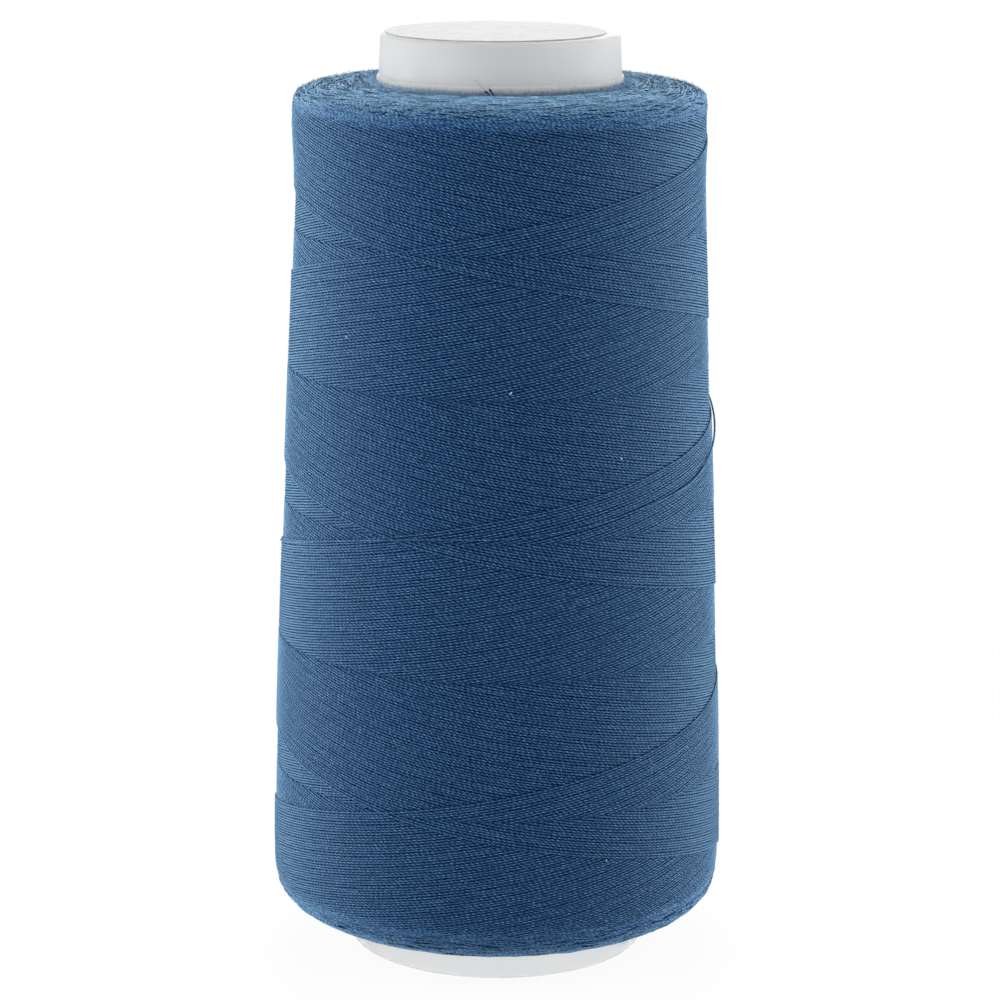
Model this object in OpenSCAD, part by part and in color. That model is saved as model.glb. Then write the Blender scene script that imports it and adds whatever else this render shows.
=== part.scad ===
// A king-size spool of sewing thread: a tapered moulded tube, a round label on
// its closed top, and one thread cross-wound on the tube between foot and bead.
// Millimetres. The spool stands on Z = 0 with its axis on Z. -Y is its front.

/* [Tube] */
// Outside diameter of the tube at its foot
foot_d = 37.4; // [34:0.2:40]
// Outside diameter of the tube at its closed top
top_d = 29.2; // [27:0.2:33]
// Thickness of the tube's side wall
wall = 1.5; // [1:0.1:2.4]
// Thickness of the wall that closes the top
top_wall = 1.8; // [1.2:0.1:3]
// Radius of the rounded edge round the top
top_round = 0.5; // [0.2:0.1:0.8]
// Radius of the rounded outer edge of the foot
foot_round = 0.5; // [0.2:0.1:0.8]
// Height of bare tube under the winding
foot_h = 4.5; // [3:0.5:12]
// Height of bare collar above the bead
collar_h = 5; // [3:0.1:12]
// Height of the bead that keeps the thread off the collar
bead_h = 0.9; // [0.6:0.1:1.5]
// How far the bead stands out of the tube
bead_out = 0.3; // [0.2:0.05:0.6]
// Space between the winding and the bead
bead_gap = 0.1; // [0.1:0.1:1]

/* [Spindle boss] */
// Diameter of the bore that takes the tip of a spindle
spindle_d = 8; // [6:0.5:12]
// Thickness of the wall round the spindle bore
boss_wall = 1.6; // [1.2:0.1:2.5]
// Length of the spindle bore, down from the top of the tube
boss_h = 12; // [6:1:25]
// Number of fins between the boss and the side wall
fin_count = 4; // [3:1:6]
// Thickness of a fin
fin_t = 1.2; // [0.8:0.1:2]
// How much shorter the fins are than the boss
fin_step = 2; // [1:0.5:4]

/* [Winding] */
// Length of the winding along the tube
wind_h = 104.3; // [80:0.1:130]
// Diameter of the wound body at its lower shoulder
wind_low_d = 55.8; // [50:0.5:64]
// Diameter of the wound body at its upper shoulder
wind_high_d = 49.6; // [44:0.2:56]
// Extra radius of the wound body halfway up its side
belly = 0.25; // [0:0.05:1]
// Height of the lower rounded shoulder
low_shoulder = 7.5; // [4:0.5:12]
// Height of the upper rounded shoulder
high_shoulder = 4.2; // [3:0.1:10]
// Squareness of the lower shoulder, where 2 is an ellipse
low_square = 2.6; // [2:0.1:4]
// Squareness of the upper shoulder, where 2 is an ellipse
high_square = 3.4; // [2:0.1:4]
// Space between the wound body and the tube inside it
wind_fit = 0.02; // [0.01:0.01:0.1]

/* [Thread] */
// Diameter of the thread
thread_d = 0.25; // [0.2:0.05:0.6]
// Turns of thread in the outer layer
loops = 24; // [12:1:24]
// Turns that the thread makes from one end of the winding to the other
stroke_turns = 2.9; // [2.1:0.1:4.3]
// Angle at which the outer layer starts, anticlockwise from +X
first_angle = 240; // [0:15:345]
// Distance from the winding's lower end to where the turns go back up
low_turn = 4.5; // [3:0.5:12]
// Distance from the winding's upper end to where the turns go back down
high_turn = 3; // [2:0.5:12]
// Clear space where one run of the thread passes over another
cross_gap = 0.48; // [0.44:0.02:1]
// Clear space between the outer layer and the wound body under it
seat_gap = 0.02; // [0.02:0.01:0.1]
// Length of the two cut ends that stand up at the collar
tail_l = 2.2; // [1:0.1:4]
// How far left of the front they stand
tail_off = 1; // [0:0.1:3]
// Clear space round them
tail_clear = 0.25; // [0.1:0.05:0.5]
// Depth of the gap in the winding that they come out of
tail_pocket = 1; // [0.6:0.1:2]
// Width of that gap
tail_gap_w = 1.6; // [1.2:0.1:3]

/* [Label] */
// Thickness of the label
label_t = 0.2; // [0.1:0.05:0.5]
// Width of bare top left round the label
label_margin = 0.7; // [0.6:0.1:2]
// How far the label is stuck off centre, towards -X
label_shift = 0.6; // [0:0.1:0.6]

/* [Hidden] */

white = "#e3e7ea";
blue = "#2c5683";
pale_blue = "#3a6a9c";
paper = "#ded9d3";

$fn = 96;
// Facets of one rounded edge, and of one shoulder of the winding
edge_steps = 6;
shoulder_steps = 16;
side_steps = 8;

wind_lo = foot_h;
wind_hi = foot_h + wind_h;
bead_z = wind_hi + bead_gap;
tube_h = bead_z + bead_h + collar_h;
low_edge = wind_lo + low_shoulder;
high_edge = wind_hi - high_shoulder;
// The cut ends stand clear of the bead
tail_r = tube_r(bead_z) + bead_out + tail_clear + thread_d / 2;

// Outside radius of the tube at height z
function tube_r(z) = foot_d / 2 + (top_d - foot_d) / 2 * z / tube_h;

// Radius of the hole in the winding at height z
function bore_r(z) = tube_r(z) + wind_fit;

// One shoulder: radius at t, from 0 at the side to 1 at the end
function shoulder_r(side, hole, t, square) =
    hole + (side - hole) * pow(max(0, 1 - pow(t, square)), 1 / square);

// Radius of the wound body at height z
function body_r(z) =
    z < low_edge
        ? shoulder_r(wind_low_d / 2, bore_r(wind_lo), (low_edge - z) / low_shoulder, low_square)
    : z > high_edge
        ? shoulder_r(wind_high_d / 2, bore_r(wind_hi), (z - high_edge) / high_shoulder, high_square)
    : let (t = (z - low_edge) / (high_edge - low_edge))
        (1 - t) * wind_low_d / 2 + t * wind_high_d / 2 + belly * 4 * t * (1 - t);

// Heights of a shoulder's facets, close together where it turns the corner
function shoulder_z(edge, h) =
    [for (i = [1:shoulder_steps - 1]) edge + h * sin(90 * i / shoulder_steps)];

function reversed(list) = [for (i = [len(list) - 1:-1:0]) list[i]];

// ---- Tube ----

module tube() {
    inner_top = tube_h - top_wall;
    boss_low = tube_h - boss_h;
    boss_r = spindle_d / 2 + boss_wall;
    color(white) {
        rotate_extrude()
            polygon(concat(
                [[tube_r(0) - wall, 0], [tube_r(0) - foot_round, 0]],
                [for (i = [1:edge_steps])
                    [tube_r(foot_round) - foot_round * (1 - sin(90 * i / edge_steps)),
                     foot_round * (1 - cos(90 * i / edge_steps))]],
                [for (i = [0:2 * edge_steps])
                    [tube_r(bead_z) + bead_out * sin(90 * i / edge_steps),
                     bead_z + bead_h / 2 * (1 - cos(90 * i / edge_steps))]],
                [for (i = [0:edge_steps])
                    [top_d / 2 - top_round * (1 - cos(90 * i / edge_steps)),
                     tube_h - top_round * (1 - sin(90 * i / edge_steps))]],
                [[spindle_d / 2, tube_h], [spindle_d / 2, boss_low],
                 [boss_r, boss_low], [boss_r, inner_top],
                 [tube_r(inner_top) - wall, inner_top]]
            ));
        fins(boss_low + fin_step, inner_top + top_wall / 2, boss_r);
    }
}

// Thin radial plates that carry the boss, from z = low to z = high
module fins(low, high, boss_r) {
    reach = tube_r(high) - wall / 2;
    start = boss_r - boss_wall / 2;
    for (i = [0:fin_count - 1])
        rotate(360 * (i + 0.5) / fin_count)
            translate([start, -fin_t / 2, low])
                cube([reach - start, fin_t, high - low]);
}

// ---- Winding ----

module wound_body() {
    color(blue)
        difference() {
            rotate_extrude()
                polygon(concat(
                    [[bore_r(wind_lo), wind_lo]],
                    [for (z = reversed(shoulder_z(low_edge, -low_shoulder))) [body_r(z), z]],
                    [for (i = [0:side_steps])
                        let (z = low_edge + (high_edge - low_edge) * i / side_steps) [body_r(z), z]],
                    [for (z = shoulder_z(high_edge, high_shoulder)) [body_r(z), z]],
                    [[bore_r(wind_hi), wind_hi]]
                ));
            tail_gap();
        }
}

// The gap at the collar that the two cut ends come out of
module tail_gap() {
    reach = tail_r + thread_d / 2 + tail_clear;
    translate([-tail_off - tail_gap_w / 2, -reach, wind_hi - tail_pocket])
        cube([tail_gap_w, reach - tube_r(wind_hi) / 2, 2 * tail_pocket]);
}

// ---- Outer layer ----

// The thread always goes round the same way while a traverse leads it up and
// down, so runs going up cross over runs going down.
ring_steps = 24;
ring_sides = 6;
ring_count = loops * ring_steps;
chord_rise = 1 / cos(180 / ring_steps);
// Sharpness of the turn at each end of a stroke, and of the change of level there
turn_sharpness = 0.985;
level_softness = 0.001;
low_z = wind_lo + low_turn;
high_z = wind_hi - high_turn;
bend_r = 1.2 * thread_d;
bend_steps = 3;

function stroke(i) = i / ring_steps / stroke_turns;
function run_z(i) =
    (low_z + high_z) / 2
    + (high_z - low_z) / 2 * asin(turn_sharpness * sin(180 * stroke(i))) / asin(turn_sharpness);

// 1 on runs that go up, which lie on top, and 0 on runs that go down
function run_level(i) =
    let (c = cos(180 * stroke(i))) 0.5 + 0.5 * c / sqrt(c * c + level_softness);

// The ring's centre is raised, so that the straight runs between rings clear the body
function run_r(i) =
    (body_r(run_z(i)) + seat_gap + thread_d / 2) * chord_rise
    + run_level(i) * (thread_d + cross_gap);
function run_angle(i) = first_angle + 360 * i / ring_steps;
function around(r, angle, z) = [r * cos(angle), r * sin(angle), z];

// An end of the thread stands straight on the body and then bends along it.
// along is 1 where the thread sets off and -1 where it arrives.
function end_points(i, along) =
    let (
        foot = body_r(run_z(i)) + seat_gap / 2,
        out = around(1, run_angle(i), 0),
        side = along * around(1, run_angle(i) + 90, 0),
        base = [0, 0, run_z(i)]
    )
    concat(
        [base + out * foot],
        [for (k = [0:bend_steps])
            let (a = 90 * k / bend_steps)
            base + out * (foot + thread_d + bend_r * sin(a)) + side * bend_r * (1 - cos(a))]
    );

route = concat(
    end_points(0, 1),
    [for (i = [1:ring_count - 1]) around(run_r(i), run_angle(i), run_z(i))],
    reversed(end_points(ring_count, -1))
);

function unit(v) = v / norm(v);

// Direction of the route at point i
function heading(i) =
    i == 0 ? unit(route[1] - route[0])
    : i == len(route) - 1 ? unit(route[i] - route[i - 1])
    : unit(unit(route[i] - route[i - 1]) + unit(route[i + 1] - route[i]));

function ring(i) =
    let (t = heading(i), side = unit(cross(t, [0, 0, 1])), up = cross(side, t))
    [for (k = [0:ring_sides - 1])
        let (a = 360 * k / ring_sides) route[i] + thread_d / 2 * (cos(a) * side + sin(a) * up)];

module outer_turns() {
    last = len(route) - 1;
    points = [for (i = [0:last]) each ring(i)];
    sides = [for (i = [0:last - 1], k = [0:ring_sides - 1])
        let (
            a = i * ring_sides + k,
            b = i * ring_sides + (k + 1) % ring_sides
        )
        each [[a, b, b + ring_sides], [a, b + ring_sides, a + ring_sides]]];
    caps = [for (k = [1:ring_sides - 2])
        each [[0, k + 1, k],
              [last * ring_sides, last * ring_sides + k, last * ring_sides + k + 1]]];
    color(pale_blue)
        polyhedron(points = points, faces = concat(sides, caps));
}

// Least distance between two straight runs over the same angle
function run_distance(a, b) =
    let (
        d0 = run_point(b) - run_point(a),
        d1 = run_point(b + 1) - run_point(a + 1),
        change = d1 - d0,
        t = min(1, max(0, -(d0 * change) / (change * change)))
    )
    norm(d0 + t * change);
function run_point(i) = around(run_r(i), run_angle(i), run_z(i));
least_gap = min([for (a = [1:ring_count - ring_steps - 2])
    each [for (b = [a + ring_steps:ring_steps:ring_count - 2]) run_distance(a, b)]]) - thread_d;
echo(str("Least gap of the outer layer to itself: ", least_gap, " mm"));

// ---- Start of the thread ----

// The thread's start and the end cut off its knot, side by side against the collar
module start_tails() {
    leans = [-28, -10];
    color(blue)
        for (i = [0:1])
            translate([(i - 0.5) * 2 * thread_d - tail_off, -tail_r,
                       wind_hi - tail_pocket + thread_d / 2])
                rotate([0, leans[i], 0])
                    cylinder(d = thread_d, h = tail_l);
}

// ---- Label ----

module label() {
    color(paper)
        translate([-label_shift, 0, tube_h])
            cylinder(r = top_d / 2 - top_round - label_margin, h = label_t);
}

tube();
wound_body();
outer_turns();
start_tails();
label();
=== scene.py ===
"""The looks of a king-size spool of sewing thread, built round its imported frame.

The thread is laid as it is on a winding machine: one thread goes round the tube
while a traverse leads it up and down, so that runs going up and runs going down
cover each other by age. Sizes are in millimetres and angles in degrees, counted
round the axis from the front (-Y) towards the right (+X), until a mesh is made.
"""
import math

import bpy
import numpy as np
from mathutils import Matrix, Vector


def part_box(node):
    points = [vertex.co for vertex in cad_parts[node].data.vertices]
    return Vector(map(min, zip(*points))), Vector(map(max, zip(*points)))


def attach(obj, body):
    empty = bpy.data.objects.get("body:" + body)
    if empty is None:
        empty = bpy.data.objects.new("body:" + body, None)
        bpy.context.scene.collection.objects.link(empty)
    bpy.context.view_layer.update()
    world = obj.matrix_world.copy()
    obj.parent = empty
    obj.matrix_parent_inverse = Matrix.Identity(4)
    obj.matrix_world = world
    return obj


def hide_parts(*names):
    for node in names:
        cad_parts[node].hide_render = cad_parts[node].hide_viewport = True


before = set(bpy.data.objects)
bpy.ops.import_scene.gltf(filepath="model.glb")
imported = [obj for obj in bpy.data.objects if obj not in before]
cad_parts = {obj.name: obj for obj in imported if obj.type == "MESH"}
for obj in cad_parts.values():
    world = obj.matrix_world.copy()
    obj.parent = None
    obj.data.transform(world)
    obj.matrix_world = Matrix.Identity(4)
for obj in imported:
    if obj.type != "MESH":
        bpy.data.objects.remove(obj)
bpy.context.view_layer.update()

MM = 0.001
rng = np.random.default_rng(31)


def node_box(node):
    """The lowest and highest corner of a CAD node, in millimetres."""
    return [np.array(corner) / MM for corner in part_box(node)]


# ---- Sizes ----

TUBE_HIGH = node_box("tube")[1]
TUBE_H = TUBE_HIGH[2]
FOOT_R = TUBE_HIGH[0]
TOP_R = 14.6
LABEL_LOW, LABEL_HIGH = node_box("label")
BODY_LOW, BODY_HIGH = node_box("wound_body")
WIND_LO, WIND_HI = BODY_LOW[2] + 0.1, BODY_HIGH[2]

# The winding's outside, which lies a little above the CAD model's plain core: the side's
# radius and height at each shoulder, and how square the shoulder is
LOW_R, LOW_EDGE, LOW_SQUARE = 28.55, WIND_LO + 7.5, 3.0
HIGH_R, HIGH_EDGE, HIGH_SQUARE = 24.95, WIND_HI - 4.0, 4.0
# How far the side bulges, how far its top rim swells out, and how far the top face sinks
# towards the collar, with the reach of each swell or dip
BELLY = 0.34
RIM_FLARE, RIM_FLARE_REACH = 0.58, 5.0
DIP, DIP_REACH = 0.15, 2.6
# How far the lowest layers have slipped towards the left
LEAN = 0.15
# Above this height the thread is brushed up, and its colour is painted paler for the light that
# falls on the top face
BRUSHED_AND_LIT_Z = HIGH_EDGE + 2.6

# The thread, pressed a little flat where it lies, and the depth that each layer adds
THREAD_W = 0.262
THREAD_T = 0.24
LAYER = 0.21
TWIST_LENGTH = 1.3

# How it is wound: runs side by side, climb per turn, the place where the newest runs cross,
# turns per stroke of the traverse, and the angle over which the traverse turns back
RUNS = 101
LEAD = 33.8
CROSS_ANGLE = -29.0
CROSS_Z = 57.3
STROKE_TURNS = 3
REVERSAL = 40.0


def tube_r(z):
    """Outside radius of the tube at height z."""
    return FOOT_R + (TOP_R - FOOT_R) * z / TUBE_H


def add_object(name, data):
    """Adds an object with its data to the scene."""
    thing = bpy.data.objects.new(name, data)
    bpy.context.scene.collection.objects.link(thing)
    return thing


# ---- Camera ----

CAMERA_PLACE = Vector((0.21, -407.5, 151.1))
CAMERA_TARGET = Vector((0.21, 0, 56.5))
CAMERA_LENS = 120.2
CAMERA_ROLL = 0.005


def make_camera():
    data = bpy.data.cameras.new("camera")
    data.lens = CAMERA_LENS
    data.sensor_width = 36
    data.clip_start = 0.01
    camera = add_object("camera", data)
    camera.location = CAMERA_PLACE * MM
    look = (CAMERA_TARGET - CAMERA_PLACE).to_track_quat("-Z", "Y").to_matrix()
    camera.rotation_euler = (look @ Matrix.Rotation(CAMERA_ROLL, 3, "Z")).to_euler()
    bpy.context.scene.camera = camera


# ---- Shader nodes ----

def linear(colour):
    """An sRGB hex colour as linear RGBA."""
    parts = [int(colour[i:i + 2], 16) / 255 for i in (1, 3, 5)]
    return [p / 12.92 if p <= 0.04045 else ((p + 0.055) / 1.055) ** 2.4 for p in parts] + [1]


def add_node(tree, kind, inputs=None, **settings):
    """Adds a shader node. inputs gives its sockets plain values or other nodes' outputs, and
    settings are its own properties."""
    node = tree.nodes.new(kind)
    for name, value in settings.items():
        setattr(node, name, value)
    for name, value in (inputs or {}).items():
        if isinstance(value, bpy.types.NodeSocket):
            tree.links.new(value, node.inputs[name])
        else:
            node.inputs[name].default_value = value
    return node


def new_material(name):
    """An empty material and its node tree."""
    material = bpy.data.materials.new(name)
    material.use_nodes = True
    material.node_tree.nodes.clear()
    return material, material.node_tree


def surface(tree, shader):
    """Makes a shader node the material's surface."""
    add_node(tree, "ShaderNodeOutputMaterial", {"Surface": shader.outputs[0]})


def principled(tree, inputs):
    """Makes one Principled shader the material's surface."""
    surface(tree, add_node(tree, "ShaderNodeBsdfPrincipled", inputs))


def maths(tree, operation, *values):
    """The result of a Math node on values or outputs."""
    return add_node(tree, "ShaderNodeMath", dict(enumerate(values)),
                    operation=operation).outputs[0]


def map_range(tree, value, low, high, new_low, new_high, **settings):
    """An output moved from one range to another, and held to it."""
    return add_node(tree, "ShaderNodeMapRange", {
        "Value": value, "From Min": low, "From Max": high,
        "To Min": new_low, "To Max": new_high}, **settings).outputs["Result"]


def colour_ramp(tree, factor, *stops):
    """A colour ramp of (place, hex colour) stops."""
    node = add_node(tree, "ShaderNodeValToRGB", {"Fac": factor})
    points = node.color_ramp.elements
    while len(points) < len(stops):
        points.new(0.5)
    for point, (place, colour) in zip(points, stops):
        point.position = place
        point.color = linear(colour)
    return node.outputs["Color"]


def noise(tree, place, scale, detail, roughness=0.5):
    """Noise at a place, with the scale in waves per unit of it."""
    return add_node(tree, "ShaderNodeTexNoise", {
        "Vector": place, "Scale": scale, "Detail": detail,
        "Roughness": roughness}).outputs["Fac"]


def bump(tree, height, strength, distance, **inputs):
    """A normal roughened by a height that reaches distance millimetres at 1."""
    return add_node(tree, "ShaderNodeBump", {
        "Strength": strength, "Distance": distance * MM, "Height": height,
        **inputs}).outputs["Normal"]


def object_place(tree):
    """Coordinates on the object, in metres."""
    return add_node(tree, "ShaderNodeTexCoord").outputs["Object"]


def height_of(tree, place):
    """The Z coordinate of a place."""
    return add_node(tree, "ShaderNodeSeparateXYZ", {"Vector": place}).outputs["Z"]


def stored(tree, name, output="Fac"):
    """What a mesh stores under a name: a number as Fac, or a direction as Vector."""
    return add_node(tree, "ShaderNodeAttribute", attribute_name=name).outputs[output]


def seen_or_reflected(tree):
    """1 for rays from the camera, off gloss and through plastic, and 0 for the rest, which
    carry light on to the spool."""
    path = add_node(tree, "ShaderNodeLightPath").outputs
    return maths(tree, "MAXIMUM", path["Is Camera Ray"], maths(
        tree, "MAXIMUM", path["Is Glossy Ray"], path["Is Transmission Ray"]))


# ---- Materials ----

def spun_polyester():
    """Spun polyester sewing thread, two-ply, in a blue dye: dull, with a painted lighter crown and
    painted shade on the flanks, the plies' twist as slanted beads along it with painted shade in
    the grooves, and a painted sheen of loose fibre at grazing angles."""
    material, tree = new_material("spun_polyester_thread")
    place = add_node(tree, "ShaderNodeUVMap", uv_map="length_and_girth").outputs["UV"]
    split = add_node(tree, "ShaderNodeSeparateXYZ", {"Vector": place})
    along, girth = split.outputs["X"], split.outputs["Y"]
    # The crown faces out of the winding and is painted lighter, and the flanks are painted darker
    # for the shade between threads
    facing_out = maths(tree, "SINE", maths(tree, "MULTIPLY", girth, math.tau))
    crown = map_range(tree, facing_out, 0, 1, 0, 1, interpolation_type="SMOOTHSTEP")
    # Two plies: the girth and the length both turn the wave, so its ridges run aslant
    turns = maths(tree, "ADD", maths(tree, "DIVIDE", along, TWIST_LENGTH), girth)
    ply = maths(tree, "ABSOLUTE", maths(tree, "COSINE", maths(tree, "MULTIPLY", turns, math.tau)))
    # Tufts of fibre about a quarter of a millimetre long, on true millimetres both ways
    flat = add_node(tree, "ShaderNodeVectorMath", {0: place, 1: (1.0, 0.8, 1.0)},
                    operation="MULTIPLY").outputs["Vector"]
    tufts = noise(tree, flat, 3.0, 3.0, 0.7)
    # Thick and thin places a few millimetres long
    slubs = noise(tree, flat, 0.35, 2.0, 0.6)
    # The plies' grooves are painted darker and their ridges lighter, besides the bump. Where
    # other threads lie over this one its colour is painted darker for the shade there, and on the
    # end face it is brushed up and painted paler for the light that falls on the top
    relief = maths(tree, "MULTIPLY_ADD", ply, 0.34, tufts)
    shade = maths(tree, "MULTIPLY", relief, 1.1)
    for part, weight in ((crown, 0.42), (slubs, 0.2), (stored(tree, "painted_cover_shade"), -0.16),
                         (stored(tree, "brushed_and_top_lit"), 0.26)):
        shade = maths(tree, "MULTIPLY_ADD", part, weight, shade)
    shade = maths(tree, "DIVIDE", shade, 2.0)
    # The ramp mixes the thread's blue with the painted light and shade above
    dyed_and_shaded = colour_ramp(tree, shade, (0.44, "#050f29"), (0.58, "#0f254b"), (0.69, "#2b5381"),
                       (0.84, "#729cbb"))
    # Loose fibre on the thread scatters light as the whole winding's face does
    own = add_node(tree, "ShaderNodeNewGeometry").outputs["Normal"]
    blend = add_node(tree, "ShaderNodeMix", {
        "Factor": 0.6, "A": own, "B": stored(tree, "outward", "Vector")}, data_type="VECTOR")
    soft = add_node(tree, "ShaderNodeVectorMath", {0: blend.outputs[1]},
                    operation="NORMALIZE").outputs["Vector"]
    # A painted sheen of the fuzz: seen along the surface, the thread's colour turns paler
    grazing = add_node(tree, "ShaderNodeLayerWeight", {"Blend": 0.5, "Normal": soft})
    painted_sheen = maths(tree, "MULTIPLY", maths(tree, "POWER", grazing.outputs["Facing"], 1.8), 0.86)
    sheen_colour = colour_ramp(tree, shade, (0.46, "#26486f"), (0.63, "#76a4cc"), (0.8, "#d0e8fa"))
    colour = add_node(tree, "ShaderNodeMix", {"Factor": painted_sheen, "A": dyed_and_shaded, "B": sheen_colour},
                      data_type="RGBA").outputs[2]
    principled(tree, {
        "Base Color": colour, "Normal": bump(tree, relief, 1.0, 0.06, Normal=soft),
        "Roughness": 0.6, "Specular IOR Level": 0.12, "Specular Tint": linear("#70bcff"),
        "Sheen Weight": 1.0, "Sheen Roughness": 0.45, "Sheen Tint": linear("#86c8f8")})
    return material


def wound_core():
    """The layers of thread under the outer two, of which only slits show between runs."""
    material, tree = new_material("inner_layers_of_thread")
    place = object_place(tree)
    grain = noise(tree, place, 2500.0, 2.0)
    # On the end face the colour is painted lighter, for the light that gets between the fewer
    # threads above
    on_end = map_range(tree, height_of(tree, place), (WIND_HI - 2.4) * MM,
                       (WIND_HI - 1.0) * MM, 0, 0.6)
    shade = maths(tree, "MULTIPLY_ADD", grain, 0.6, on_end)
    principled(tree, {
        "Base Color": colour_ramp(tree, shade, (0.2, "#16345f"), (0.4, "#274f80"),
                                  (0.9, "#6c9ccc")),
        "Normal": bump(tree, grain, 0.6, 0.1), "Roughness": 0.85, "Specular IOR Level": 0.05})
    return material


def loose_fibre(name, *colours):
    """Single polyester fibres that stand off the thread. Their colour is painted paler than
    the thread's, for the light that passes through them, and the finest ones most."""
    material, tree = new_material(name)
    patches = noise(tree, object_place(tree), 2200.0, 1.0)
    # A fibre is so thin that light from the whole face's side reaches round it
    principled(tree, {
        "Base Color": colour_ramp(tree, patches, *zip((0.3, 0.5, 0.7), colours)),
        "Normal": stored(tree, "outward", "Vector"), "Roughness": 0.7,
        "Specular IOR Level": 0.0})
    return material


def pale_lint():
    """Bits of undyed fibre caught in the winding."""
    material, tree = new_material("pale_lint")
    patches = noise(tree, object_place(tree), 60.0, 1.0)
    principled(tree, {
        "Base Color": colour_ramp(tree, patches, (0.4, "#a9c0da"), (0.6, "#d2c8d2")),
        "Roughness": 0.7, "Specular IOR Level": 0.2})
    return material


def natural_polypropylene():
    """Undyed injection-moulded polypropylene: milky, so that light spreads some millimetres
    inside the wall and a part goes through, with faint flow marks from the mould."""
    material, tree = new_material("natural_polypropylene")
    place = object_place(tree)
    # Flow marks a few millimetres wide, drawn out along the axis as the plastic fills the mould
    stretched = add_node(tree, "ShaderNodeMapping", {
        "Vector": place, "Scale": (1.0, 1.0, 0.35)}).outputs["Vector"]
    flow = noise(tree, stretched, 160.0, 3.0)
    # The foot has a single thin wall and is much clearer than the collar with its plug
    clear = map_range(tree, height_of(tree, place), 10 * MM, 60 * MM, 0.95, 0.36)
    principled(tree, {
        "Base Color": colour_ramp(tree, flow, (0.3, "#e6e8e9"), (0.7, "#eaebec")),
        "Normal": bump(tree, flow, 0.15, 0.1), "Roughness": map_range(tree, flow, 0, 1, 0.5, 0.65),
        "IOR": 1.25, "Specular IOR Level": 0.3, "Transmission Weight": clear,
        "Subsurface Weight": 1.0, "Subsurface Radius": (1.0, 1.0, 1.0),
        "Subsurface Scale": 3.0 * MM})
    return material


def label_film():
    """Plain self-adhesive film: a thin silvery white coat on clear plastic, faintly
    crinkled where it was smoothed down by hand."""
    material, tree = new_material("plain_label_film")
    crinkle = noise(tree, object_place(tree), 700.0, 4.0, 0.6)
    principled(tree, {
        "Base Color": colour_ramp(tree, crinkle, (0.3, "#acabaa"), (0.7, "#bebdbc")),
        "Normal": bump(tree, crinkle, 0.25, 0.1), "Roughness": 0.65,
        "Specular IOR Level": 0.3})
    return material


# ---- Meshes ----

def soft_step(x):
    """0 below -1, 1 above 1, and smooth between."""
    x = np.clip((x + 1) / 2, 0, 1)
    return x * x * (3 - 2 * x)


def finish_piece(piece, material, slot, *nodes):
    """Gives a piece its finish, its body and the CAD nodes that it stands for."""
    piece.data.materials.clear()
    piece.data.materials.append(material)
    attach(piece, "root")
    if nodes:
        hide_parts(*nodes)


def strand_spots(points, outs, width, thick, sides, taper):
    """The corners of every ring, as an array of strand, ring, corner and axis. One corner of
    each ring is its crown."""
    along = np.gradient(points, axis=1)
    along /= np.linalg.norm(along, axis=2, keepdims=True)
    side = np.cross(along, outs)
    side /= np.linalg.norm(side, axis=2, keepdims=True)
    up = np.cross(side, along)
    angle = (np.arange(sides) / sides + 0.25) * math.tau
    size = np.array(taper)[None, :, None, None]
    return (points[:, :, None]
            + side[:, :, None] * np.cos(angle)[None, None, :, None] * width / 2 * size
            + up[:, :, None] * np.sin(angle)[None, None, :, None] * thick / 2 * size)


def strand_faces(count, rings, sides):
    """The corners of the walls' faces and of the end faces, by vertex number."""
    first = (np.arange(count) * rings * sides)[:, None, None]
    ring = (np.arange(rings - 1) * sides)[None, :, None]
    k = np.arange(sides)[None, None, :]
    here, there = first + ring + k, first + ring + (k + 1) % sides
    quads = np.stack([here, there, there + sides, here + sides], axis=-1).reshape(-1, 4)
    caps = np.concatenate([first[:, 0] + k[0, :, ::-1], first[:, 0] + (rings - 1) * sides + k[0]])
    return quads, caps


def new_mesh(name, spots, *faces):
    """A mesh of vertices, in millimetres, and of faces given as arrays of vertex numbers."""
    mesh = bpy.data.meshes.new(name)
    corners = np.concatenate([part.ravel() for part in faces])
    sizes = np.concatenate([np.full(len(part), part.shape[1]) for part in faces])
    starts = np.cumsum(sizes) - sizes
    mesh.vertices.add(spots.size // 3)
    mesh.vertices.foreach_set("co", (spots * MM).astype(np.float32).ravel())
    mesh.loops.add(len(corners))
    mesh.loops.foreach_set("vertex_index", corners.astype(np.int32))
    mesh.polygons.add(len(starts))
    mesh.polygons.foreach_set("loop_start", starts.astype(np.int32))
    return mesh


def add_map(mesh, name, *parts):
    """Adds a UV map, given face corner by face corner."""
    flat = np.concatenate([part.ravel() for part in parts])
    mesh.uv_layers.new(name=name).data.foreach_set("uv", flat.astype(np.float32))


def thread_map(mesh, points, sides, caps):
    """A map that holds the length along the strand in millimetres, and the way round it from
    0 to 1."""
    count, rings = points.shape[:2]
    reach = np.zeros((count, rings))
    reach[:, 1:] = np.cumsum(np.linalg.norm(np.diff(points, axis=1), axis=2), axis=1)
    # The twist isn't quite even, so that it falls differently on neighbouring runs
    reach += np.cumsum(rng.normal(0, 0.1, reach.shape), axis=1) + rng.uniform(0, 50, (count, 1))
    girth = np.arange(sides)[None, None] / sides + 0.25
    u, u_next, v = np.broadcast_arrays(reach[:, :-1, None], reach[:, 1:, None], girth)
    wall = np.stack([u, v, u, v + 1 / sides, u_next, v + 1 / sides, u_next, v], axis=-1)
    add_map(mesh, "length_and_girth", wall, np.zeros(caps.size * 2))


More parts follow.
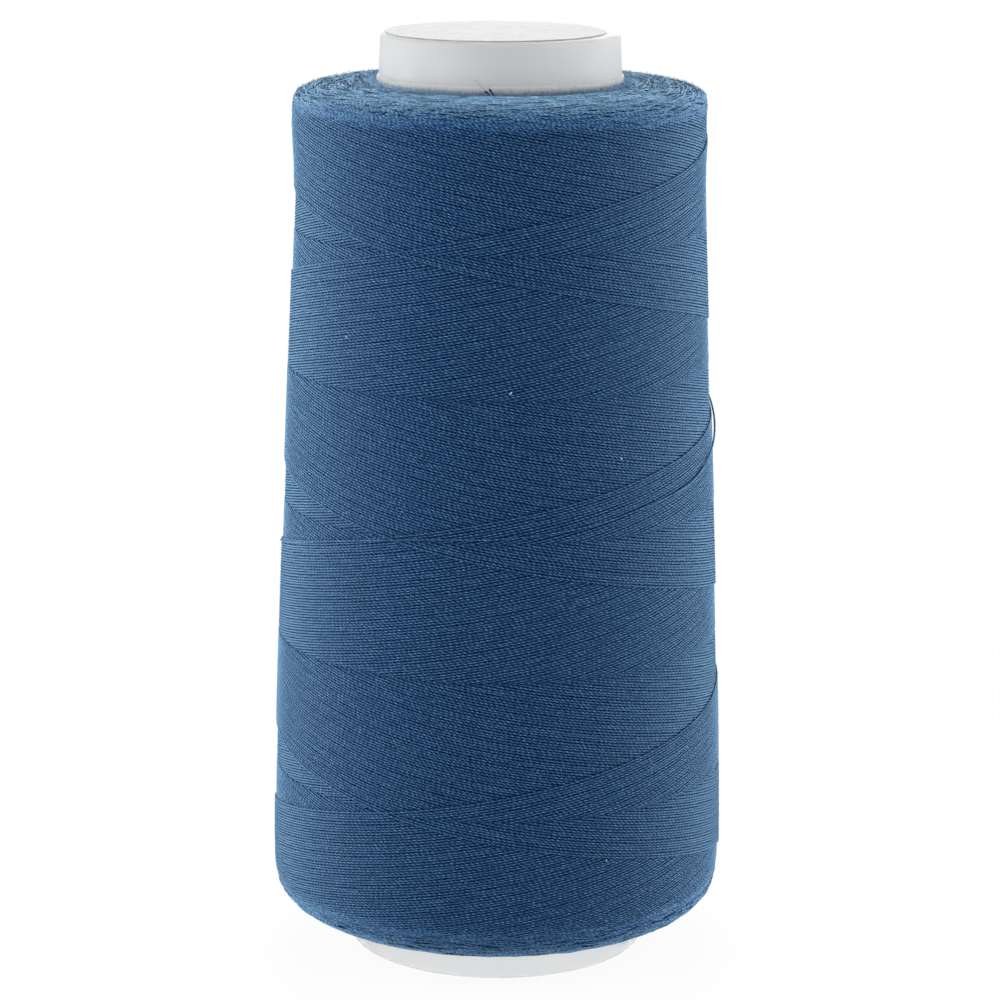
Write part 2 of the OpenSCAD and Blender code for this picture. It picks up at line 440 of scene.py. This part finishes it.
def bake_map(mesh, links, sides, caps):
    """A second map for baking, where the strands' links stand side by side in rows, each a
    few times longer than it is high, and the ends share a strip along the top."""
    per_row = max(1, round(math.sqrt(links * 1.2)))
    rows = -(-links // per_row) + 1
    link = np.arange(links)[:, None]
    k = np.arange(sides)[None]
    x0 = (link % per_row) / per_row + 0 * k
    y0 = (link // per_row + 0.06 + 0.88 * k / sides) / rows
    x1, y1 = x0 + 1 / per_row, y0 + 0.88 / sides / rows
    wall = np.stack([x0, y0, x0, y1, x1, y1, x1, y0], axis=-1)
    turn = np.arange(sides) / sides * math.tau
    end_x = (np.arange(caps)[:, None] + 0.5 + 0.4 * np.cos(turn)[None]) / caps
    end_y = 1 - (0.5 + 0.4 * np.sin(turn)[None] + 0 * end_x) / rows
    add_map(mesh, "OFBake", wall, np.stack([end_x, end_y], axis=-1))


def store(mesh, name, kind, values):
    """Stores a number or a direction at each vertex, under a name."""
    attribute = mesh.attributes.new(name, "FLOAT_VECTOR" if kind == "vector" else "FLOAT", "POINT")
    attribute.data.foreach_set(kind, values.astype(np.float32).ravel())


def strands(name, points, outs, width, thick, sides=5, taper=None, under=None):
    """One mesh of many strands. points and outs are arrays of strand, ring and axis: the
    middles of the rings, in millimetres, and the direction that each ring's top faces. under
    says how much shade is painted into each ring's colour: 1 under another strand, and more
    in a deeper shade."""
    count, rings = points.shape[:2]
    if taper is None:
        taper = np.ones(rings)
    if under is None:
        under = np.zeros((count, rings))
    spots = strand_spots(points, outs, width, thick, sides, taper)
    quads, caps = strand_faces(count, rings, sides)
    mesh = new_mesh(name, spots, quads, caps)
    thread_map(mesh, points, sides, caps)
    bake_map(mesh, count * (rings - 1), sides, len(caps))
    store(mesh, "outward", "vector", np.repeat(outs.reshape(-1, 3), sides, axis=0))
    # The painted shade under other strands, which darkens their colour
    store(mesh, "painted_cover_shade", "value", np.repeat(under.ravel(), sides))
    # Brushed-up fibre, with painted light on the top face
    store(mesh, "brushed_and_top_lit", "value", soft_step((spots[..., 2] - BRUSHED_AND_LIT_Z) / 2))
    mesh.update(calc_edges=True)
    mesh.shade_smooth()
    return add_object(name, mesh)


def turned(name, outline, steps):
    """A closed outline of (radius, height) points, turned round the axis."""
    r, z = np.array(outline).T
    angle = np.arange(steps)[:, None] / steps * math.tau
    spots = np.stack([r * np.cos(angle), r * np.sin(angle), z + 0 * angle], axis=-1)
    here = np.arange(steps * len(outline)).reshape(steps, len(outline))
    there = np.roll(here, -1, axis=0)
    quads = np.stack([here, there, np.roll(there, -1, axis=1), np.roll(here, -1, axis=1)],
                     axis=-1).reshape(-1, 4)
    mesh = new_mesh(name, spots, quads)
    mesh.update(calc_edges=True)
    mesh.shade_smooth()
    mesh.set_sharp_from_angle(angle=math.radians(35))
    return add_object(name, mesh)


# ---- The winding's outside ----

def shoulder(side, hole, t, square):
    """Radius on a shoulder at t, from 0 at the side to 1 at the end face."""
    return hole + (side - hole) * np.clip(1 - t ** square, 0, 1) ** (1 / square)


def side_r(z):
    """Radius of the winding's side at height z."""
    t = (z - LOW_EDGE) / (HIGH_EDGE - LOW_EDGE)
    flare = RIM_FLARE * np.exp(-((HIGH_EDGE - z) / RIM_FLARE_REACH) ** 2)
    # The side is fullest about a third of the way up
    belly = BELLY * np.sin(math.pi * np.clip(t, 0, 1) ** 0.6)
    return (1 - t) * LOW_R + t * HIGH_R + belly + flare


def outline_points():
    """The winding's outline from the tube's foot up to the collar, in steps of about 0.1 mm,
    as rows of (radius, height)."""
    t = np.sin(np.linspace(0, 1, 400) * math.pi / 2)
    low = np.stack([shoulder(side_r(LOW_EDGE), tube_r(WIND_LO), t, LOW_SQUARE),
                    LOW_EDGE - (LOW_EDGE - WIND_LO) * t], axis=1)[::-1]
    heights = np.linspace(LOW_EDGE, HIGH_EDGE, 900)[1:-1]
    middle = np.stack([side_r(heights), heights], axis=1)
    high = np.stack([shoulder(side_r(HIGH_EDGE), tube_r(WIND_HI), t, HIGH_SQUARE),
                     HIGH_EDGE + (WIND_HI - HIGH_EDGE) * t], axis=1)
    high[:, 1] -= DIP * np.exp(-((high[:, 0] - tube_r(WIND_HI)) / DIP_REACH) ** 2)
    return np.concatenate([low, middle, high])


def traverses():
    """The traverse at each point of the outline: the height on the side, which goes on along
    the outline over the shoulders."""
    reach = np.concatenate([[0], np.cumsum(np.linalg.norm(np.diff(OUTLINE, axis=0), axis=1))])
    height = OUTLINE[:, 1]
    low_reach, high_reach = np.interp((LOW_EDGE, HIGH_EDGE), height, reach)
    return np.where(height < LOW_EDGE, LOW_EDGE - (low_reach - reach),
                    np.where(height > HIGH_EDGE, HIGH_EDGE + reach - high_reach, height))


OUTLINE = outline_points()
OUTLINE_TRAVERSE = traverses()
TRAVERSE_LO, TRAVERSE_HI = OUTLINE_TRAVERSE[0], OUTLINE_TRAVERSE[-1]
SLOPE_REACH = 0.3


def outline_r(traverse):
    """Radius of the outline at a traverse."""
    return np.interp(traverse, OUTLINE_TRAVERSE, OUTLINE[:, 0])


def outline_z(traverse):
    """Height of the outline at a traverse."""
    return np.interp(traverse, OUTLINE_TRAVERSE, OUTLINE[:, 1])


def on_outline(traverse):
    """Radius, height and outward direction (radial, upward) at a traverse."""
    dr = outline_r(traverse + SLOPE_REACH) - outline_r(traverse - SLOPE_REACH)
    dz = outline_z(traverse + SLOPE_REACH) - outline_z(traverse - SLOPE_REACH)
    size = np.hypot(dr, dz)
    return outline_r(traverse), outline_z(traverse), dz / size, -dr / size


def in_place(angle, traverse, lift):
    """Points at an angle round the axis and a traverse, lifted off the winding's outside,
    and the direction outwards there."""
    r, z, out_r, out_z = on_outline(traverse)
    r = r + out_r * lift
    z = z + out_z * lift
    s, c = np.sin(np.radians(angle)), np.cos(np.radians(angle))
    slip = LEAN * np.clip((LOW_EDGE - z) / (LOW_EDGE - WIND_LO), 0, 1)
    points = np.stack([r * s - slip, -r * c, z], axis=-1)
    outs = np.stack([out_r * s, -out_r * c, out_z], axis=-1)
    return points, outs


# ---- The wound thread ----

DEGREES_PER_MM = 360 / LEAD
RUN_STEP = 360 / RUNS
STROKE_TOP = CROSS_Z + 180 * STROKE_TURNS / DEGREES_PER_MM
STROKE_LOW = CROSS_Z - (360 * STROKE_TURNS - RUN_STEP) / 2 / DEGREES_PER_MM
STROKE_ANGLE = (STROKE_TOP - STROKE_LOW) * DEGREES_PER_MM
RING_ANGLE = 3.6
PIECE_COUNT = 4
# The difference in age over which one run comes to lie under another
COVER_AGE = 0.012
# How the thread wanders: the shortest and longest wave in degrees, their number, and the size
SHORT_WANDER = (6, 70, 8, 0.02)
LONG_WANDER = (150, 900, 4, 0.022)
DEPTH_WANDER = (5, 60, 6, 0.018)


def wander(angle, low, high, terms, size):
    """A small smooth wandering along the thread, in millimetres, with waves from low to high
    degrees long."""
    waves = np.geomspace(low, high, terms) * rng.uniform(0.9, 1.1, terms)
    starts = rng.uniform(0, math.tau, terms)
    total = sum(np.sin(angle * math.tau / w + p) for w, p in zip(waves, starts))
    return size * total / math.sqrt(terms)


def wound_path():
    """The outer two layers of the thread, oldest first: angle, traverse, depth, and how far
    a newer run covers it."""
    run = np.arange(0, RUNS * 2 * STROKE_ANGLE, RING_ANGLE)
    stroke, part = np.divmod(run, STROKE_ANGLE)
    rising = stroke % 2 == 0
    age = (RUNS - 1 - stroke // 2 + np.where(rising, 0.5, 0)) / RUNS
    angle = (CROSS_ANGLE - (CROSS_Z - STROKE_LOW) * DEGREES_PER_MM
             + (RUNS - 1) * RUN_STEP + run)
    traverse = np.where(rising, STROKE_LOW + part / DEGREES_PER_MM,
                        STROKE_TOP - part / DEGREES_PER_MM)
    # Age of the newest run that crosses here, which lies over this one if it is younger
    across = np.where(rising, 1, -1) * (traverse - CROSS_Z) * DEGREES_PER_MM
    crossing_age = ((angle - CROSS_ANGLE + across) / 360) % 1
    under = soft_step((age - crossing_age) / COVER_AGE)
    depth = LAYER * (age + crossing_age + under)
    # The traverse slows down and comes back at each end
    to_end = np.minimum(part, STROKE_ANGLE - part)
    inside = np.clip(REVERSAL / 2 - to_end, 0, None)
    drawn_in = inside ** 2 / REVERSAL / DEGREES_PER_MM
    at_top = rising == (part > STROKE_ANGLE / 2)
    traverse = traverse + np.where(at_top, -1, 1) * drawn_in
    traverse = traverse + wander(run, *SHORT_WANDER) + wander(run, *LONG_WANDER)
    depth = depth + wander(run, *DEPTH_WANDER)
    return angle, traverse, depth, under


def top_of_winding(angle, traverse):
    """How far the newest layer's top lies below the outline."""
    way = (traverse - CROSS_Z) * DEGREES_PER_MM
    rising_age = ((angle - CROSS_ANGLE - way) / 360) % 1
    falling_age = ((angle - CROSS_ANGLE + way) / 360) % 1
    return LAYER * (rising_age + falling_age)


def wind_thread(material):
    """The outer two layers, cut into pieces of equal length."""
    angle, traverse, depth, under = wound_path()
    points, outs = in_place(angle, traverse, -depth - THREAD_T / 2)
    size = len(angle) // PIECE_COUNT + 1
    for i in range(PIECE_COUNT):
        part = slice(i * size, min((i + 1) * size + 1, len(angle)))
        # How far a newer run covers each ring also paints shade into its colour
        piece = strands(f"wound_thread_{i + 1}", points[None, part], outs[None, part],
                        THREAD_W, THREAD_T, under=under[part])
        finish_piece(piece, material, "thread", "outer_turns")


# The bare turns on the end faces: length of each in degrees, distance between them, number
# round the face, rings in each, and how far they start under the newest runs' turning points
END_ARC = 12.0
END_SPACING = 0.22
END_TURNS = 64
ARC_RINGS = 5
END_START = 2.2
# Where they come out from under those runs they lie two deep: number of turns, how far they
# reach and how much deeper they lie
UNDER_LAYERS = 12
UNDER_REACH = 3.2
UNDER_SINK = 0.28
# How far the upper ones sink at the start, and over what distance
START_SINK = 0.3
START_REACH = 1.6


def wind_ends(material):
    """The turns of older layers that lie bare on the end faces. Each comes up out of the
    winding, runs round for a stretch and goes down again."""
    for name, start, stop in (
            ("top_face_turns", STROKE_TOP - END_START, TRAVERSE_HI - 0.1),
            ("bottom_face_turns", STROKE_LOW + END_START, TRAVERSE_LO + 0.1)):
        places = np.linspace(start, stop, int(abs(stop - start) / END_SPACING))
        below = start + np.sign(stop - start) * np.linspace(0, UNDER_REACH, UNDER_LAYERS)
        sunk = np.repeat([0] * len(places) + [UNDER_SINK] * UNDER_LAYERS, END_TURNS)
        places = np.append(places, below)
        layers = len(places)
        count = layers * END_TURNS
        middle = np.repeat(places, END_TURNS) + rng.normal(0, 0.1, count)
        turn = (np.tile(np.arange(END_TURNS) * 360 / END_TURNS, layers)
                + np.repeat(rng.uniform(0, 360, layers), END_TURNS) + rng.normal(0, 6, count))
        span = END_ARC * rng.uniform(0.7, 1.3, count)
        t = np.linspace(-1, 1, ARC_RINGS)[None]
        angle = turn[:, None] + t * span[:, None] / 2
        sink = t ** 2 * rng.uniform(0.1, 0.35, count)[:, None]
        bend = (rng.normal(0, 0.3, (count, 1)) * t
                + rng.normal(0, 0.1, (count, 1)) * np.sin(t * math.pi))
        at_start = np.clip(1 - np.abs(middle - start) / START_REACH, 0, 1)
        sunk = np.maximum(sunk, START_SINK * at_start)
        lift = -sink - sunk[:, None] - THREAD_T / 2 + rng.normal(0, 0.05, (count, 1))
        points, outs = in_place(angle, middle[:, None] + bend, lift)
        finish_piece(strands(name, points, outs, THREAD_W, THREAD_T), material, "thread")


# How deep the inner layers lie, and how much less on the end faces, where fewer threads
# cover them, from a distance past the shoulder's edge
CORE_DEPTH = 0.86
CORE_RISE = 0.62
CORE_RISE_FROM = 3.2


def wind_core(material):
    """The inner layers, as one ring round the tube."""
    traverse = np.concatenate([np.linspace(TRAVERSE_LO, LOW_EDGE, 24),
                               np.linspace(LOW_EDGE, HIGH_EDGE, 16)[1:-1],
                               np.linspace(HIGH_EDGE, TRAVERSE_HI, 24)])
    r, z, out_r, out_z = on_outline(traverse)
    on_end = soft_step((np.abs(traverse - (LOW_EDGE + HIGH_EDGE) / 2)
                        - (HIGH_EDGE - LOW_EDGE) / 2 - CORE_RISE_FROM) / 1.2)
    depth = np.minimum(CORE_DEPTH - CORE_RISE * on_end, 0.5 * (r - tube_r(z)) + 0.3)
    outside = list(zip(r - out_r * depth, z - out_z * depth))
    hole = [(tube_r(height) + 0.05, height) for height in (outside[-1][1], outside[0][1])]
    outside = [(max(x, tube_r(y) + 0.06), y) for x, y in outside]
    finish_piece(turned("wound_core", outside + hole, 96), material, "thread", "wound_body")


# ---- Fuzz ----

# How deep a fibre's root sits in the thread that it grows out of
ROOT_DEPTH = 0.08


def fuzz(name, material, count, low, high, length, lift, thick, rings):
    """Loose fibres on the winding between two traverses: bent, tapered and standing off it."""
    traverse = rng.uniform(low, high, count)
    angle = rng.uniform(0, 360, count)
    # They grow out of the newest layer, and on the end faces out of the bare turns
    to_end = np.minimum(traverse - STROKE_LOW - 0.4, STROKE_TOP - 0.4 - traverse)
    sunk = np.clip(to_end / 1.5, 0, 1) * top_of_winding(angle, traverse)
    size = length * rng.uniform(0.4, 1.3, count)
    heading = rng.uniform(0, math.tau, count)
    rise = lift * rng.beta(1.2, 3.0, count)
    t = np.linspace(0, 1, rings)[None]
    curl = rng.normal(0, 0.9, count)
    turn = heading[:, None] + curl[:, None] * t
    across = size[:, None] * t * np.cos(turn)
    up = size[:, None] * t * np.sin(turn) * 0.45
    arch = np.sin(t * math.pi * rng.uniform(0.5, 0.95, (count, 1)))
    away = rise[:, None] * arch - ROOT_DEPTH
    points, outs = in_place(
        angle[:, None] + np.degrees(across / outline_r(traverse)[:, None]),
        np.clip(traverse[:, None] + up, TRAVERSE_LO, TRAVERSE_HI), away - sunk[:, None])
    piece = strands(name, points, outs, thick, thick, sides=3,
                    taper=np.linspace(1, 0.3, rings))
    finish_piece(piece, material, "thread")


FRINGE_COUNT = 6000
FRINGE_ROOT_DEPTH = 0.12


def collar_fringe(material):
    """Short fibres that stand up round the collar, where the winding meets the tube."""
    angle = rng.uniform(0, 360, FRINGE_COUNT)
    traverse = TRAVERSE_HI - rng.uniform(0.3, 1.4, FRINGE_COUNT)
    rise = 0.15 + rng.gamma(2.0, 0.17, FRINGE_COUNT)
    t = np.array([[0.0, 1.0]])
    points, outs = in_place(
        angle[:, None] + rng.normal(0, 1.2, (FRINGE_COUNT, 1)) * t,
        traverse[:, None] + rng.normal(0, 0.12, (FRINGE_COUNT, 1)) * t,
        rise[:, None] * t - FRINGE_ROOT_DEPTH)
    outs = np.stack([points[..., 0], points[..., 1], 0 * points[..., 2]], axis=-1)
    outs /= np.linalg.norm(outs, axis=2, keepdims=True)
    piece = strands("collar_fringe", points, outs, 0.04, 0.04, sides=3, taper=[1, 0.4])
    finish_piece(piece, material, "thread")


# Specks of lint: angle, traverse, tilt from upright and length
LINT = ((-44.2, 80.5, 28, 0.36), (3.1, 75.3, 45, 0.42), (33.4, 66.7, 15, 0.32),
        (28.0, 17.7, 0, 0.26))


def lint_specks(material):
    """Small spindles of pale fibre on the side."""
    t = np.linspace(-0.5, 0.5, 5)
    lines, faces = [], []
    for angle, traverse, tilt, length in LINT:
        tilt = math.radians(tilt)
        turn = np.degrees(t * length * math.sin(tilt) / outline_r(traverse))
        points, outs = in_place(angle + turn, traverse + t * length * math.cos(tilt),
                                0.02 - top_of_winding(angle, traverse) + 0 * t)
        lines.append(points)
        faces.append(outs)
    specks = strands("lint_specks", np.array(lines), np.array(faces), 0.16, 0.12, sides=6,
                     taper=[0.4, 0.9, 1, 0.9, 0.4])
    finish_piece(specks, material, "thread")


# ---- Cut ends and the loose last turn ----

def smooth_line(knots, count):
    """A Catmull-Rom line through knots, with count points."""
    knots = np.array(knots, float)
    ends = np.concatenate([2 * knots[:1] - knots[1:2], knots, 2 * knots[-1:] - knots[-2:-1]])
    place = np.linspace(0, len(knots) - 1 - 1e-9, count)
    i = place.astype(int)
    t = (place - i)[:, None]
    a, b, c, d = ends[i], ends[i + 1], ends[i + 2], ends[i + 3]
    return 0.5 * (2 * b + (c - a) * t + (2 * a - 5 * b + 4 * c - d) * t ** 2
                  + (3 * b - a - 3 * c + d) * t ** 3)


# Knots of the loose last turn: angle, traverse and lift off the layer under it
LOOSE_TURN = (
    (-225, 38.9, -0.5), (-205, 40.8, -0.1), (-175, 43.5, 0), (-140, 46.7, -0.08),
    (-105, 49.9, -0.14), (-70.4, 53.2, -0.04), (-48.2, 55.5, 0), (-31.2, 56.9, 0.02),
    (-17.3, 57.7, 0.04), (-4.5, 57.95, 0.05), (6.2, 58.25, 0.05), (17.4, 58.8, 0.04),
    (28.5, 59.5, 0.03), (37.8, 60.3, 0.03), (49.3, 61.15, 0.08), (60.8, 62.1, 0.1),
    (70.7, 63.6, 0.14), (80, 65.2, 0.18), (90, 67.3, 0.2), (100, 69.4, 0.15),
    (112, 71.2, 0.08), (140, 74.0, 0), (175, 77.3, 0), (210, 80.6, 0), (240, 83.4, -0.1),
    (262, 85.4, -0.5))
# Where it steps up over a newer run it begins a little before and comes down after, within
# this many rings
STEP_RINGS = 9


def loose_turn(material):
    """The last turn of thread, which lies loose over the others."""
    line = smooth_line(LOOSE_TURN, 400)
    angle, traverse, lift = line.T
    under = -top_of_winding(angle, traverse)
    half = STEP_RINGS // 2
    wide = np.lib.stride_tricks.sliding_window_view(np.pad(under, half, mode="edge"), STEP_RINGS)
    raised = np.pad(wide.max(axis=1), half, mode="edge")
    under = np.convolve(raised, np.ones(STEP_RINGS) / STEP_RINGS, "valid")
    points, outs = in_place(angle, traverse, under + lift + THREAD_T * 0.45)
    piece = strands("loose_last_turn", points[None], outs[None], THREAD_T, THREAD_T, sides=8)
    finish_piece(piece, material, "thread", "outer_turns")


# Each cut end: foot and tip across and up from a root that lies this far out from the tube and
# down from the winding's top
CUT_ENDS = (((-0.95, -0.6), (-1.82, 0.72)), ((-0.62, -0.6), (-1.3, 0.98)))
CUT_END_OUT = 0.55
CUT_END_DOWN = 0.25
CUT_END_D = 0.22
# Single fibres at the tips: which end, and how far each reaches across and up
STRAY_FIBRES = ((0, -1.35, 1.35), (0, -0.35, 0.3), (1, 0.2, 0.45), (1, -0.3, 0.35))
STRAY_FIBRE_D = 0.035


def facing_front(lines):
    """Lines as an array of points, and the direction to the front at each point."""
    points = np.array(lines)
    return points, np.broadcast_to([0, -1.0, 0], points.shape)


def cut_ends(material, fibre):
    """The two cut ends of the thread, which stand up in front of the collar, with a few single
    fibres at their tips."""
    root_z = WIND_HI - CUT_END_DOWN
    front = tube_r(WIND_HI) + CUT_END_OUT
    lines = []
    for (x0, z0), (x1, z1) in CUT_ENDS:
        lines.append(smooth_line([
            (x0, -front + 0.1, root_z + z0), (x0 * 0.6 + x1 * 0.4, -front, root_z + z1 * 0.4),
            (x1, -front - 0.12, root_z + z1)], 10))
    points, outs = facing_front(lines)
    # They stand in the shade of the collar, which is painted into their colour as darker
    ends = strands("cut_thread_ends", points, outs, CUT_END_D, CUT_END_D, sides=8,
                   taper=[1] * 7 + [1.1, 1.15, 0.8], under=np.full(points.shape[:2], 3.5))
    finish_piece(ends, material, "thread", "start_tails")
    lines = []
    for end, across, up in STRAY_FIBRES:
        x, z = CUT_ENDS[end][1]
        lines.append(smooth_line([
            (x + 0.04, -front - 0.11, root_z + z - 0.15),
            (x + across * 0.4, -front - 0.14, root_z + z + up * 0.55),
            (x + across, -front - 0.12, root_z + z + up)], 8))
    points, outs = facing_front(lines)
    strays = strands("cut_end_fibres", points, outs, STRAY_FIBRE_D, STRAY_FIBRE_D, sides=4)
    finish_piece(strays, fibre, "thread")


# ---- Tube and label ----

# The label's film, the height and width of its crinkles, and its gap to the tube's top
FILM_T = 0.1
CRINKLE = 0.08
CRINKLE_WIDTH = 3.5
FILM_GAP = 0.02


def finish_tube(material):
    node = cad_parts["tube"]
    node.data.materials.clear()
    node.data.materials.append(material)


def make_label(material):
    """A disc of film with a faint crinkle."""
    middle = (LABEL_LOW + LABEL_HIGH) / 2
    radius = (LABEL_HIGH[0] - LABEL_LOW[0]) / 2
    bpy.ops.object.select_all(action="DESELECT")
    bpy.ops.mesh.primitive_circle_add(
        vertices=96, radius=radius * MM, fill_type="TRIFAN",
        location=(middle[0] * MM, middle[1] * MM, LABEL_LOW[2] * MM))
    label = bpy.context.object
    label.name = "round_label"
    bpy.ops.object.mode_set(mode="EDIT")
    bpy.ops.mesh.select_all(action="SELECT")
    bpy.ops.mesh.subdivide(number_cuts=5)
    bpy.ops.object.mode_set(mode="OBJECT")
    bpy.ops.object.transform_apply(location=True, rotation=True, scale=True)
    wrinkles = bpy.data.textures.new("film_wrinkles", "CLOUDS")
    wrinkles.noise_scale = CRINKLE_WIDTH * MM
    displace = label.modifiers.new("crinkle", "DISPLACE")
    displace.texture = wrinkles
    displace.texture_coords = "LOCAL"
    displace.strength = CRINKLE * MM
    displace.mid_level = 0.5
    wall = label.modifiers.new("film_thickness", "SOLIDIFY")
    wall.thickness = FILM_T * MM
    wall.offset = 1
    for modifier in ("crinkle", "film_thickness"):
        bpy.ops.object.modifier_apply(modifier=modifier)
    lowest = min(v.co.z for v in label.data.vertices)
    for vertex in label.data.vertices:
        vertex.co.z += (LABEL_LOW[2] + FILM_GAP) * MM - lowest
    bpy.ops.object.shade_smooth_by_angle(angle=math.radians(40))
    finish_piece(label, material, "label", "label")


# ---- Floor and light ----

WHITE = (1, 1, 1, 1)
# What the white surroundings add to the light on the spool
AMBIENT = 0.03
# The distance from the axis over which the floor goes from shadow to plain white
SHADOW_FROM, SHADOW_TO = 30, 160
# Softboxes: angle round from the front, height angle, distance, width, height, brightness
SOFTBOXES = {
    "left_softbox": (-70, 8, 520, 640, 700, 3.85),
    "right_softbox": (78, 8, 520, 720, 700, 3.1),
    "back_softbox": (180, 30, 560, 320, 400, 5.6),
    "top_softbox": (0, 48, 560, 700, 500, 0.62),
    "front_fill": (5, 15, 600, 600, 600, 0.1),
}


def make_floor():
    """A plain pale floor. Far from the spool it is an even white to the camera, and near it
    keeps the soft shadow."""
    bpy.ops.object.select_all(action="DESELECT")
    bpy.ops.mesh.primitive_plane_add(size=12)
    floor = bpy.context.object
    floor.name = "floor"
    material, tree = new_material("pale_floor")
    seen = seen_or_reflected(tree)
    distance = add_node(tree, "ShaderNodeVectorMath", {0: object_place(tree)},
                        operation="LENGTH").outputs["Value"]
    far = map_range(tree, distance, SHADOW_FROM * MM, SHADOW_TO * MM, 0, 1,
                    interpolation_type="SMOOTHSTEP")
    matt = add_node(tree, "ShaderNodeBsdfDiffuse", {"Color": linear("#505050")})
    glow = add_node(tree, "ShaderNodeEmission", {"Color": WHITE, "Strength": 0.93})
    lit = add_node(tree, "ShaderNodeAddShader", {0: matt.outputs[0], 1: glow.outputs[0]})
    white = add_node(tree, "ShaderNodeEmission", {"Color": WHITE, "Strength": 1.0})
    near_far = add_node(tree, "ShaderNodeMixShader", {
        0: far, 1: lit.outputs[0], 2: white.outputs[0]})
    plain = add_node(tree, "ShaderNodeBsdfDiffuse", {"Color": linear("#e6e6e6")})
    surface(tree, add_node(tree, "ShaderNodeMixShader", {
        0: seen, 1: plain.outputs[0], 2: near_far.outputs[0]}))
    floor.data.materials.append(material)


def make_world():
    world = bpy.data.worlds.new("studio")
    bpy.context.scene.world = world
    world.use_nodes = True
    tree = world.node_tree
    tree.nodes.clear()
    sky = add_node(tree, "ShaderNodeBackground", {
        "Color": WHITE,
        "Strength": map_range(tree, seen_or_reflected(tree), 0, 1, AMBIENT, 1.0)})
    add_node(tree, "ShaderNodeOutputWorld", {"Surface": sky.outputs[0]})


def make_lights():
    aim = Vector((0, 0, TUBE_H / 2 * MM))
    for name, (turn, rise, distance, width, height, brightness) in SOFTBOXES.items():
        turn, rise = math.radians(turn), math.radians(rise)
        way = Vector((math.sin(turn) * math.cos(rise), -math.cos(turn) * math.cos(rise),
                      math.sin(rise)))
        data = bpy.data.lights.new(name, "AREA")
        data.shape = "RECTANGLE"
        data.size, data.size_y = width * MM, height * MM
        data.energy = brightness * math.pi * width * height * MM ** 2
        lamp = add_object(name, data)
        lamp.location = aim + way * distance * MM
        lamp.rotation_euler = (-way).to_track_quat("-Z", "Y").to_euler()


# ---- The spool ----

make_camera()
thread = spun_polyester()
# The fibres' pale colours are painted light, for the light that passes through them
fibre = loose_fibre("loose_polyester_fibre", "#4a88c2", "#78aede", "#b0d8f6")
fine_fibre = loose_fibre("fine_polyester_fibre", "#78aee0", "#9cc8f0", "#cae6fc")
finish_tube(natural_polypropylene())
make_label(label_film())
wind_core(wound_core())
wind_thread(thread)
wind_ends(thread)
loose_turn(thread)
cut_ends(thread, fibre)
collar_fringe(fine_fibre)
lint_specks(pale_lint())
# Name, material, number of fibres, traverses they grow between, length, lift, thickness and
# rings
for patch in (
        ("top_face_fuzz_1", fibre, 13000, HIGH_EDGE + 3, TRAVERSE_HI, 0.5, 0.2, 0.07, 3),
        ("top_face_fuzz_2", fine_fibre, 13000, HIGH_EDGE + 3, TRAVERSE_HI, 0.4, 0.5, 0.05, 3),
        ("top_rim_fuzz", thread, 7000, HIGH_EDGE - 2, HIGH_EDGE + 4, 0.5, 0.15, 0.04, 3),
        ("bottom_fuzz", fibre, 12000, TRAVERSE_LO, LOW_EDGE - 2, 0.6, 0.2, 0.04, 3),
        ("side_fuzz_1", thread, 16000, LOW_EDGE - 2, HIGH_EDGE, 0.5, 0.12, 0.03, 2),
        ("side_fuzz_2", fine_fibre, 14000, LOW_EDGE - 2, HIGH_EDGE, 0.3, 0.2, 0.025, 2)):
    fuzz(*patch)
make_floor()
make_world()
make_lights()
bpy.context.scene.view_settings.view_transform = "Standard"
